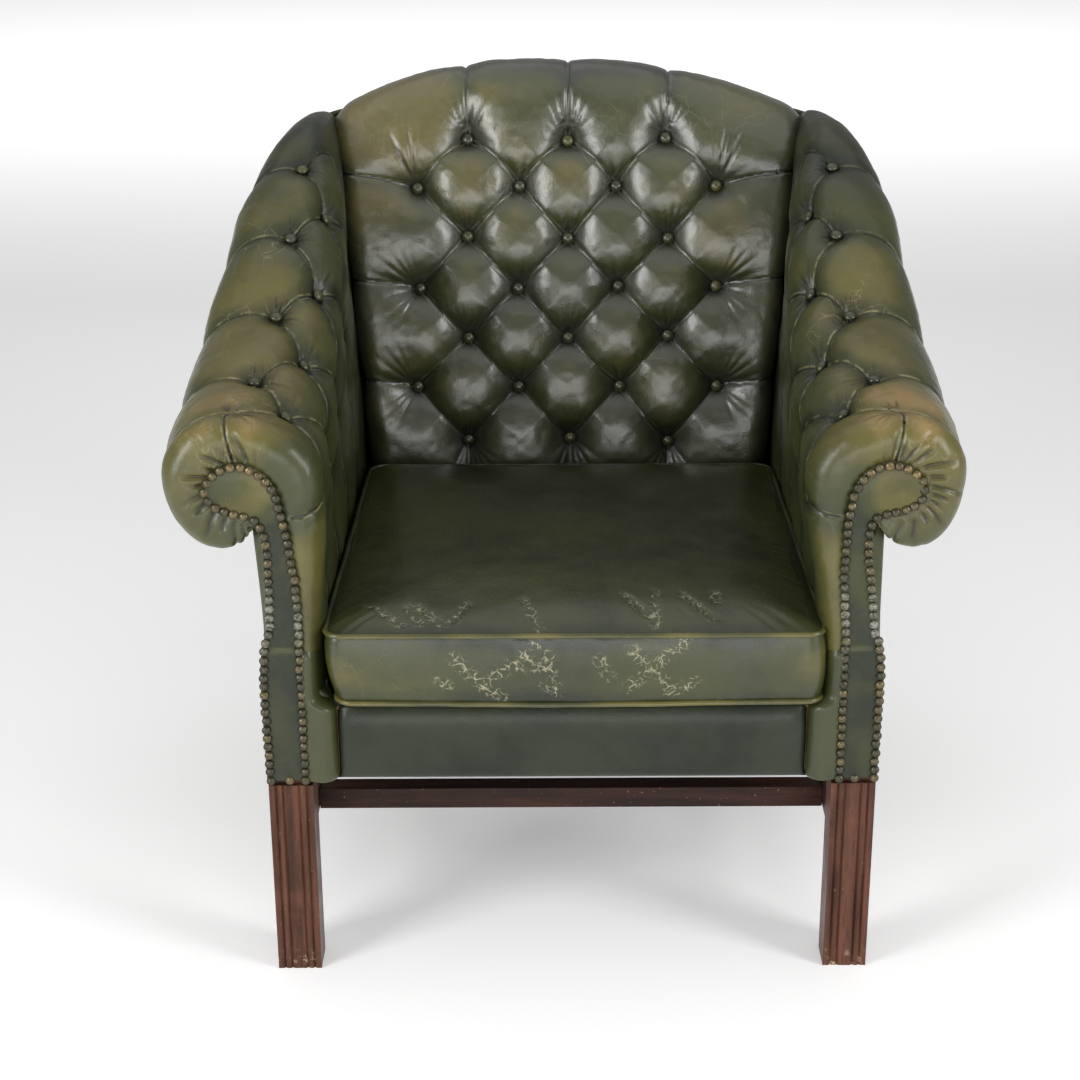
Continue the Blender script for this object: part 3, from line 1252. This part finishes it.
def nearest_stroke(places, strokes):
    """Distance to the nearest of several straight strokes."""
    best = np.full(len(places), 9.0)
    for start, end in strokes:
        best = np.minimum(best, nearest_on_line(places, np.array((start, end)))[0])
    return best


def make_cushion():
    """One closed cover: rows from the middle of the top, down the border and in under the bottom."""
    columns = 501
    rim, out = cushion_rim(columns)
    centre = np.array([CUSHION_SHIFT, (CUSHION_NEAR + CUSHION_FAR) / 2])
    rows, puckers = [], []
    gather = soft_noise(np.column_stack([rim, np.zeros(columns)]), 0.012, 61)
    for share in np.sin(np.linspace(0, math.pi / 2, 64)) ** 0.92:
        flat = centre + (rim - centre) * share
        z = CUSHION_EDGE + CUSHION_CROWN * (1 - share ** 5) ** 0.62
        pinched = smooth(share, 0.80, 0.93) * (1 - float(smooth(share, 0.975, 1)))
        z = z - 0.0012 * np.abs(gather) * pinched
        rows.append(np.column_stack([flat, np.broadcast_to(z, columns)]))
        puckers.append(0)
    for share in np.linspace(0, 1, 26)[1:-1]:
        swell = CUSHION_SWELL * math.sin(math.pi * share) ** 0.7
        flat = rim + out * (swell + 0.0014 * gather[:, None] * (1 - abs(2 * share - 1)) ** 0.5 - 0.0005)
        flat[:, 0] += tuck(rim) * share
        foot = CUSHION_FOOT + edge_sag(rim[:, 0])
        rows.append(np.column_stack([flat, CUSHION_EDGE + (foot - CUSHION_EDGE) * share]))
        puckers.append(1)
    for share in np.cos(np.linspace(0, math.pi / 2, 34)) ** 0.92:
        flat = centre + (rim - centre) * share
        flat[:, 0] += tuck(rim) * share
        z = CUSHION_FOOT + edge_sag(rim[:, 0]) * share - 0.001 * (1 - share ** 6)
        rows.append(np.column_stack([flat, z]))
        puckers.append(0)
    points = np.stack(rows).reshape(-1, 3)
    border = np.repeat(np.array(puckers), columns)
    top = smooth(points[:, 2], CUSHION_EDGE - 0.002, CUSHION_EDGE + 0.004) * (1 - border)
    inside = (np.abs(points[:, 0]) < 0.26) & (points[:, 1] < CUSHION_FAR - 0.02)
    waves = 0.0022 * soft_noise(points, 0.11, 62) + 0.0007 * soft_noise(points, 0.03, 63)
    points[:, 2] += top * inside * waves
    sat = np.exp(-((points[:, 0] / 0.17) ** 2 + ((points[:, 1] - centre[1] - 0.03) / 0.17) ** 2))
    points[:, 2] -= top * SAT_HOLLOW * sat
    at_front = points[:, 1] < CUSHION_NEAR + 0.012
    points[:, 1] += border * at_front * 0.0012 * soft_noise(points, 0.045, 64)

    face = nearest_stroke(points[:, [0, 2]], BORDER_SCUFFS)
    lid = nearest_stroke(points[:, :2] - np.array([0, FRONT]), TOP_SCUFFS)
    points[:, 2] -= top * (border == 0) * SCUFF_DEPTH * np.exp(-(lid / 0.0045) ** 2)
    scuff = np.where(border * at_front > 0, face, np.where(top > 0.5, lid + 0.0012, 0.03))
    to_edge = np.minimum(CUSHION_FRONT_HALF - np.abs(points[:, 0]), points[:, 1] - CUSHION_NEAR)
    rub = 0.09 + 0.22 * np.exp(-np.clip(to_edge, 0, 1) / 0.05) + 0.10 * soft_noise(points, 0.12, 65)
    rub = np.where(border > 0, 0.35 + 0.22 * soft_noise(points, 0.10, 66), rub)
    seam = np.where(border > 0, np.minimum(CUSHION_EDGE - points[:, 2], points[:, 2] - CUSHION_FOOT),
                    np.where(top > 0, to_edge, 0.03))
    values = hide_values(
        points, np.clip(seam, 0, 0.03) + 0.0004, np.full(len(points), 0.08), rub, scuff=scuff)
    return sheet_mesh("cushion_hide", points, len(rows), columns, values, False, close_ring)


def make_piping(name, height, sags):
    """A covered cord round the cushion; the bottom one sags and tucks in with the border."""
    columns, turns = 420, 13
    rim, out = cushion_rim(columns)
    z = height + edge_sag(rim[:, 0]) * sags
    wander = 0.0006 * soft_noise(np.column_stack([rim, np.zeros(columns)]), 0.030, 71 + sags)
    wander[-1] = wander[0]
    rows = []
    for turn in np.linspace(0, 2 * math.pi, turns):
        flat = rim + out * (0.0008 + wander[:, None] + PIPING * math.cos(turn))
        flat[:, 0] += tuck(rim) * sags
        rows.append(np.column_stack([flat, z + PIPING * math.sin(turn)]))
    points = np.stack(rows).reshape(-1, 3)
    rub = 0.48 - 0.38 * smooth(points[:, 1], CUSHION_NEAR + 0.01, CUSHION_NEAR + 0.06)
    rub += 0.2 * soft_noise(points, 0.04, 73)
    return sheet_mesh(name, points, turns, columns, plain_values(points, rub), False, close_ring)


seat_hide = hide_finish("seat_hide", cracks=0.25, lips=0.0, gloss=0.33, scuffs=0.75, shine=0.8)
cushion = make_cushion()
dress(cushion, seat_hide, ["seat_cushion"])
for name, height, sags in (("cushion_piping_top", CUSHION_EDGE + 0.0008, 0),
                           ("cushion_piping_bottom", CUSHION_FOOT - 0.0008, 1)):
    dress(make_piping(name, height, sags), seat_hide)

# ------------------------------------------------------------ front border
# Under the cushion a plain panel of darker, duller hide is stretched over thin padding on the front
# rail, turned under it and tacked there.

BORDER_HALF = 0.2622
BORDER_FOOT = 0.2440
BORDER_TOP = 0.3375


def make_front_border():
    """A long flat pad with rounded edges, fullest a little above its middle."""
    rows, columns = 46, 201
    x = np.linspace(-1, 1, columns)
    points = np.zeros((rows, columns, 3))
    for i, share in enumerate(np.linspace(0, 1, rows)):
        z = BORDER_FOOT + (BORDER_TOP - BORDER_FOOT) * share
        swell = (1 - abs(2 * share - 1) ** 4) ** 0.5 * (1 - np.abs(x) ** 34) ** 0.5
        drop = 0.009 * np.abs(x) ** 44 * share
        roll = 0.0080 + 0.0042 * math.sin(math.pi * share ** 1.9)
        points[i] = np.column_stack([x * BORDER_HALF, FRONT + 0.0126 - roll * swell, z - drop])
    flat = points.reshape(-1, 3)
    middle = (flat[:, 1] < FRONT + 0.011)
    flat[:, 1] += middle * (0.0006 * soft_noise(flat * np.array([1, 1, 0.3]), 0.05, 81)
                            + 0.0003 * soft_noise(flat * np.array([1, 1, 0.2]), 0.012, 82))
    rub = 0.10 + 0.08 * soft_noise(flat, 0.08, 83)
    return sheet_mesh("front_border", flat, rows, columns, plain_values(flat, rub), False, shut)


border_hide = hide_finish("border_hide", deep=(0.012, 0.017, 0.011), green=(0.027, 0.032, 0.019),
                          olive=(0.050, 0.050, 0.026), cracks=0.1, lips=0.0, gloss=0.36, shine=0.40)
dress(make_front_border(), border_hide, ["front_border_panel"])

# ------------------------------------------------------------ plain panels
# The outsides of the arms and the back are single pieces of hide drawn flat over the frame, duller
# and less worn than the inside. The back has a welt in its seam, and the leg tops are covered too.


def soften(node, width, segments=2):
    """Rounds the sharp edges of a wooden piece."""
    edge = node.modifiers.new("worn_edges", "BEVEL")
    edge.width = width
    edge.segments = segments
    edge.limit_method = "ANGLE"
    edge.angle_limit = math.radians(40)


def repaint(name, material):
    """Gives a piece of the frame its finish."""
    node = frame["nodes"][name]
    node.data.materials.clear()
    node.data.materials.append(material)
    return node


PANEL_INSIDE = 0.3385                    # inner face of the outside arm's hide
PANEL_OUTSIDE = 0.3395
PANEL_FOOT = 0.2455
PANEL_FRONT = 0.004
PANEL_LENGTH = 0.744

# half width of the outside arm's front edge at a few heights, where it goes under the nails
FRONT_EDGE_Z = (0.2455, 0.311, 0.345, 0.412, 0.428, 0.497, 0.520, 0.548, 0.56)
FRONT_EDGE_X = (0.3412, 0.3417, 0.3422, 0.3400, 0.3350, 0.3306, 0.3290, 0.3305, 0.336)


def outside_values(points):
    """Evenly worn, and rubbed a little more along the bottom."""
    rub = 0.26 + 0.07 * soft_noise(points, 0.16, 97) + 0.05 * soft_noise(points, 0.03, 98)
    rub += 0.20 * (1 - smooth(points[:, 2], 0.25, 0.28))
    return plain_values(points, rub)


def make_outside_arm(side, name):
    """One outside arm: tacked under the roll and under the rail, with its front edge under the nails."""
    rows, columns = 110, 110
    points = np.zeros((rows, columns, 3))
    for i, share in enumerate(np.linspace(0, 1, rows)):
        y = PANEL_FRONT + PANEL_LENGTH * share ** 1.25
        line = arm_section(max(y, 0.03), 240)[0]
        top = line[-1, 1] + 0.004
        front_edge = 1 - float(smooth(y, PANEL_FRONT, 0.018))
        z = np.linspace(PANEL_FOOT, top, columns)
        rise = (z - PANEL_FOOT) / (top - PANEL_FOOT)
        edge_x = np.interp(z, FRONT_EDGE_Z, FRONT_EDGE_X)
        puff = 0.0020 * (1 - abs(2 * rise - 1) ** 3)
        puff = puff * float(smooth(y, 0.02, 0.15)) * (1 - float(smooth(y, 0.62, 0.72)))
        x = PANEL_OUTSIDE + puff
        x = x * (1 - front_edge) + edge_x * front_edge
        reach = PANEL_FRONT + (rear_depth(z) - PANEL_FRONT) * (y - PANEL_FRONT) / PANEL_LENGTH
        points[i] = np.column_stack([side * x, FRONT + reach, z])
    flat = leaned(points.reshape(-1, 3))
    dragged = flat @ np.array([[1, 0, 0], [0, 1, 0.45], [0, -0.45, 1]])
    flat[:, 0] += side * (0.0012 * soft_noise(flat * np.array([1, 1, 0.5]), 0.09, 95)
                          + 0.0009 * soft_noise(dragged * np.array([1, 1, 0.25]), 0.022, 96)
                          ) * smooth(flat[:, 1], FRONT + 0.03, FRONT + 0.1)
    keep = np.clip(PANEL_INSIDE + 0.0001 - np.abs(flat[:, 0]), 0, 0.01) * (flat[:, 2] < 0.55)
    flat[:, 0] += side * keep * smooth(flat[:, 1], FRONT + 0.006, FRONT + 0.018)

    def turn_in(form):
        for vert in turned_in(form):
            outside = abs(vert.co.x) > PANEL_INSIDE
            vert.co.x = side * PANEL_INSIDE if outside else vert.co.x - side * 0.002
        shut(form)
        face_out(form)

    return sheet_mesh(name, flat, rows, columns, outside_values(flat), side > 0, turn_in)


BACK_CORNER = (0.3385, 0.836)
HIDE_THICKNESS = 0.0018


def back_outline(count):
    """Half of the outside back's top edge, from the corner to the middle."""
    shoulder = bezier(BACK_CORNER, (0.325, 0.850), (0.280, 0.857), (0.235, 0.864), count)
    arch = bezier((0.235, 0.864), (0.160, 0.884), (0.080, 0.888), (0.0, 0.888), count)
    return np.concatenate([shoulder, arch[1:]])[::-1]


def make_outside_back():
    """One sheet from the bottom rail to the arched top, thickened to real hide."""
    rows, columns = 120, 121
    across = np.linspace(-BACK_CORNER[0], BACK_CORNER[0], columns)
    edge = back_outline(40)
    top = np.interp(np.abs(across), edge[:, 0], edge[:, 1])
    points = np.zeros((rows, columns, 3))
    for i, share in enumerate(np.linspace(0, 1, rows)):
        z = BORDER_FOOT + (top - BORDER_FOOT) * share
        puff = 0.0035 * (1 - abs(2 * share - 1) ** 8) * (1 - np.abs(across / BACK_CORNER[0]) ** 12)
        points[i] = np.column_stack([across, FRONT + rear_depth(z) + 0.0022 + puff, z])
    flat = points.reshape(-1, 3)
    inward = 1 - np.abs(flat[:, 0] / BACK_CORNER[0]) ** 6
    flat[:, 1] += inward * (0.0013 * soft_noise(flat * np.array([1, 0, 0.4]), 0.10, 99)
                            + 0.0006 * soft_noise(flat * np.array([1, 0, 0.3]), 0.025, 100))
    piece = sheet_mesh("outside_back", flat, rows, columns, outside_values(flat), True)
    thick = piece.modifiers.new("hide_thickness", "SOLIDIFY")
    thick.thickness = HIDE_THICKNESS
    return piece


WELT = 0.0034


def make_welt():
    """The covered cord let into the seam round the outside back."""
    half = back_outline(40)
    foot = (BACK_CORNER[0], BORDER_FOOT + 0.001)
    line = np.concatenate([half[::-1] * (-1, 1), half[1:]])
    line = evenly(np.concatenate([[(-foot[0], foot[1])], line, [foot]]), 420)
    run = np.gradient(line, axis=0)
    run /= np.linalg.norm(run, axis=1, keepdims=True)
    beside = np.stack([-run[:, 1], run[:, 0]], 1)
    turns = 11
    rings = []
    for turn in np.linspace(0, 2 * math.pi, turns):
        flat = line + beside * WELT * math.cos(turn)
        y = FRONT + rear_depth(line[:, 1]) + 0.0012 + WELT * math.sin(turn)
        rings.append(np.column_stack([flat[:, 0], y, flat[:, 1]]))
    points = np.stack(rings).reshape(-1, 3)

    def close(form):
        bmesh.ops.remove_doubles(form, verts=form.verts[:], dist=1e-6)
        shut(form)
        face_out(form)

    values = outside_values(points)
    return sheet_mesh("outside_back_welt", points, turns, len(line), values, False, close)


CAP_LOW = Vector((0.2925, 0.7045, 0.822))
CAP_HIGH = Vector((0.3382, 0.7535, 0.8400))
CAP_ROUND = 0.005


def make_leg_cap(side, name):
    """The hide turned over the top of a back leg, in the corner of arm and back."""
    form = bmesh.new()
    bmesh.ops.create_cube(form, size=1.0)
    for vert in form.verts:
        x, y, z = (CAP_LOW[k] + (CAP_HIGH[k] - CAP_LOW[k]) * (vert.co[k] + 0.5) for k in range(3))
        vert.co = Vector((side * x, y + FRONT, z))
    bmesh.ops.bevel(form, geom=form.edges[:], offset=CAP_ROUND, segments=4, affect="EDGES", profile=0.5)
    face_out(form)
    for label, value in (("pleat", 0.03), ("button", 0.08), ("rub", 0.2), ("fold", 0.0), ("scuff", 0.03)):
        layer = form.verts.layers.float.new(label)
        for vert in form.verts:
            vert[layer] = value
    return made_piece(name, form)


outside_hide = hide_finish("outside_hide", cracks=0.35, lips=0.0, gloss=0.46, shine=0.45)
for side, word in SIDES:
    outside = make_outside_arm(side, f"outside_arm_{word}")
    dress(outside, outside_hide, [f"outside_arm_panel_{word}"])
dress(make_outside_back(), outside_hide, ["outside_back_panel"])
dress(make_welt(), outside_hide)
for side, word in SIDES:
    dress(make_leg_cap(side, f"leg_cap_{word}"), outside_hide)

# ------------------------------------------------------------ legs
# Solid mahogany under a thin worn polish: reeded square front legs, raked back legs and plain
# stretchers, with small chips and bare wood at the feet.

BARE_WOOD = (0.36, 0.27, 0.17)
NICKED_WOOD = (0.25, 0.16, 0.10)


def wood_finish(name, grain, dark, light, polish=0.35):
    """Grain drawn out along the piece, with open pores, faded patches, chips and nicks."""
    wood = Finish(name)
    figure = wood.noise(1.0, 4.0, 0.6, place=wood.stretched(grain), twist=0.3)
    pores = wood.noise(1.0, 3.0, 0.7, place=wood.stretched([k * 7 for k in grain]))
    patch = wood.noise(14.0, 3.0, 0.6)
    colour = wood.blend(wood.between(figure, 0.32, 0.68), dark, light)
    colour = wood.blend(wood.between(pores, 0.52, 0.70, 0.0, 0.55), colour, [k * 0.35 for k in dark])
    faded = wood.between(patch, 0.50, 0.75, 0.0, 0.35)
    colour = wood.blend(faded, colour, [k * 1.5 for k in light])
    split = wood.nodes.new("ShaderNodeSeparateXYZ")
    wood.links.new(wood.place, split.inputs[0])
    near_floor = wood.between(split.outputs["Z"], 0.0, 0.030, 1.0, 0.0)
    chip = wood.times(near_floor, wood.between(wood.noise(120.0, 4.0, 0.7), 0.56, 0.62))
    colour = wood.blend(chip, colour, BARE_WOOD)
    nick = wood.between(wood.noise(210.0, 2.0, 0.5), 0.70, 0.73)
    colour = wood.blend(wood.times(nick, 0.6), colour, NICKED_WOOD)
    wood.paint("Base Color", colour)
    wood.paint("Roughness", wood.between(patch, 0.35, 0.7, polish, polish + 0.18))
    wood.paint("Specular IOR Level", 0.22)
    wood.paint("Coat Weight", 0.07)
    wood.paint("Coat Roughness", 0.25)
    normal = wood.bump(pores, 0.0004, 0.35)
    normal = wood.bump(wood.maths("SUBTRACT", 1.0, chip), 0.0010, 0.5, normal)
    wood.paint("Normal", normal)
    return wood.material


MAHOGANY_DARK = (0.040, 0.0145, 0.0085)
MAHOGANY_LIGHT = (0.118, 0.046, 0.026)
STRETCHER_DARK = (0.018, 0.0065, 0.004)
STRETCHER_LIGHT = (0.048, 0.017, 0.010)
upright = wood_finish("mahogany_upright", (70, 70, 5), MAHOGANY_DARK, MAHOGANY_LIGHT)
lengthways = wood_finish("mahogany_lengthways", (70, 5, 70), STRETCHER_DARK, STRETCHER_LIGHT)
crossways = wood_finish("mahogany_crossways", (5, 70, 70), STRETCHER_DARK, STRETCHER_LIGHT)
for word in ("right", "left"):
    soften(repaint(f"front_leg_{word}", upright), 0.0012)
    soften(repaint(f"back_leg_{word}", upright), 0.0016)
    soften(repaint(f"side_stretcher_{word}", lengthways), 0.0014)
soften(repaint("cross_stretcher", crossways), 0.0014)

# ------------------------------------------------------------ inside
# Beech rails and blocks, jute webbing and hessian, tied steel springs and black lining: seldom seen,
# but there when the chair is turned over.


def cloth_finish(name, dark, light, thread):
    """A plain weave of crossing threads, soiled in patches."""
    cloth = Finish(name)
    weave = cloth.nodes.new("ShaderNodeTexWave")
    weave.bands_direction = "X"
    across = cloth.nodes.new("ShaderNodeTexWave")
    across.bands_direction = "Y"
    for node in (weave, across):
        cloth.put(node.inputs["Vector"], cloth.place)
        cloth.put(node.inputs["Scale"], thread)
        cloth.put(node.inputs["Distortion"], 0.6)
    mesh = cloth.times(weave.outputs["Fac"], across.outputs["Fac"])
    colour = cloth.blend(mesh, dark, light)
    colour = cloth.blend(cloth.between(cloth.noise(18.0, 4.0), 0.45, 0.75, 0.0, 0.5), colour, dark)
    cloth.paint("Base Color", colour)
    cloth.paint("Roughness", cloth.between(mesh, 0.0, 1.0, 0.95, 0.8))
    cloth.paint("Normal", cloth.bump(mesh, 0.0008, 0.6))
    return cloth.material


def steel_finish():
    """Grey wire with some rust."""
    steel = Finish("spring_steel")
    rust = steel.between(steel.noise(60.0, 4.0, 0.7), 0.45, 0.62)
    colour = steel.blend(rust, (0.16, 0.16, 0.165), (0.13, 0.062, 0.030))
    steel.paint("Base Color", colour)
    steel.paint("Metallic", steel.maths("SUBTRACT", 0.9, rust, limit=True))
    steel.paint("Roughness", steel.between(rust, 0.0, 1.0, 0.38, 0.8))
    steel.paint("Normal", steel.bump(steel.noise(400.0), 0.0003, 0.4))
    return steel.material


INSIDE = {
    "frame_beech": wood_finish("beech", (50, 6, 50), (0.30, 0.19, 0.105), (0.45, 0.31, 0.185), 0.6),
    "jute": cloth_finish("jute_weave", (0.13, 0.085, 0.045), (0.34, 0.25, 0.145), 260.0),
    "spring_steel": steel_finish(),
    "lining_cloth": cloth_finish("black_lining", (0.006, 0.006, 0.006), (0.022, 0.021, 0.020), 420.0),
}
for part in frame["record"]["subparts"]:
    if part["material_slot"] in INSIDE:
        repaint(part["node"], INSIDE[part["material_slot"]])
# these pieces are drawn in a little, so that they stay under hide that has leaned and sunk with age
DRAWN_IN = (("arm_post_left", 0.0035), ("arm_post_right", 0.0085), ("crest_rail", 0.0065))
for node, shrunk in DRAWN_IN:
    sealed = frame["nodes"][node].modifiers.new("sealed_edges", "WELD")
    sealed.merge_threshold = 1e-5
    drawn_in = frame["nodes"][node].modifiers.new("shrinkage", "DISPLACE")
    drawn_in.strength = -shrunk
    drawn_in.mid_level = 0.0
